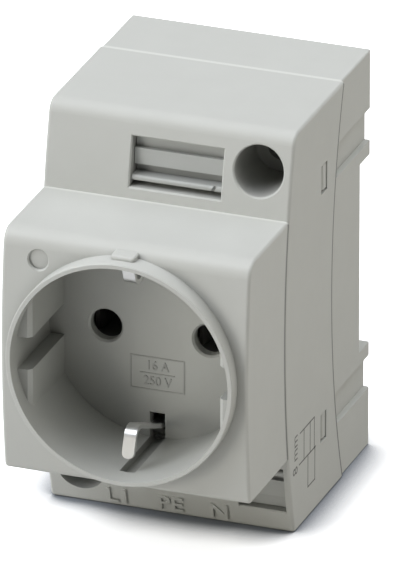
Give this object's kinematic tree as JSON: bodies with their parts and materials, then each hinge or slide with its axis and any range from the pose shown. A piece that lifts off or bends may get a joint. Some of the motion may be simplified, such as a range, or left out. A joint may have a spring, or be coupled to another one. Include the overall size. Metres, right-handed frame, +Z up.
{
  "type": "wall socket",
  "caption": "Earthed mains socket in a modular case that clips on a mounting rail, with a round recessed cup, side guides and sprung earth contacts.",
  "frame": {"origin": "under the middle of the case, on the plane it stands on", "axes": "+X to the right seen from the front, -Y to the front with the cup, +Z up"},
  "size_m": [0.045, 0.0658, 0.075],
  "materials": {
    "case_plastic": "fine matt moulding",
    "carrier_plastic": "matt moulding",
    "brass": "stamped sheet",
    "plated_steel": "bright plating",
    "marker_plastic": "smooth moulding"
  },
  "bodies": {
    "case": {"rear_base": "case_plastic", "middle_housing": "case_plastic", "socket_front": "case_plastic", "contact_carrier": "carrier_plastic", "line_contact": "brass", "neutral_contact": "brass", "line_socket_spring": "plated_steel", "neutral_socket_spring": "plated_steel", "earth_bracket": "plated_steel", "earth_strap": "brass", "earth_rivets": "plated_steel", "latch_spring": "plated_steel", "marker_holder": "marker_plastic", "small_marker_holder": "marker_plastic"},
    "latch": {"rail_latch": "case_plastic"},
    "line_terminal_screw": {"line_screw": "plated_steel"},
    "line_terminal_clamp": {"line_clamp": "plated_steel"},
    "earth_terminal_screw": {"earth_screw": "plated_steel"},
    "earth_terminal_clamp": {"earth_clamp": "plated_steel"},
    "neutral_terminal_screw": {"neutral_screw": "plated_steel"},
    "neutral_terminal_clamp": {"neutral_clamp": "plated_steel"}
  },
  "joints": [
    {"name": "latch_slide", "type": "slide", "parent": "case", "child": "latch", "axis": [0, 0, -1], "range_m": [0, 0.003], "stiffness_N_per_m": 800, "springref_m": -0.002, "deforming": ["latch_spring"]},
    {"name": "line_screw_turn", "type": "hinge", "parent": "case", "child": "line_terminal_screw", "pos_m": [-0.0089, 0.00485, 0.0095], "axis": [0, 1, 0], "range_deg": [0, 1440]},
    {"name": "line_clamp_slide", "type": "slide", "parent": "case", "child": "line_terminal_clamp", "axis": [0, -1, 0], "range_m": [0, 0.0024]},
    {"name": "earth_screw_turn", "type": "hinge", "parent": "case", "child": "earth_terminal_screw", "pos_m": [0, 0.00485, 0.0095], "axis": [0, 1, 0], "range_deg": [0, 1440]},
    {"name": "earth_clamp_slide", "type": "slide", "parent": "case", "child": "earth_terminal_clamp", "axis": [0, -1, 0], "range_m": [0, 0.0024]},
    {"name": "neutral_screw_turn", "type": "hinge", "parent": "case", "child": "neutral_terminal_screw", "pos_m": [0.0089, 0.00485, 0.0095], "axis": [0, 1, 0], "range_deg": [0, 1440]},
    {"name": "neutral_clamp_slide", "type": "slide", "parent": "case", "child": "neutral_terminal_clamp", "axis": [0, -1, 0], "range_m": [0, 0.0024]}
  ],
  "couplings": [
    {"joint": "line_screw_turn", "follows": "line_clamp_slide", "rad_per_m": 10472},
    {"joint": "earth_screw_turn", "follows": "earth_clamp_slide", "rad_per_m": 10472},
    {"joint": "neutral_screw_turn", "follows": "neutral_clamp_slide", "rad_per_m": 10472}
  ]
}
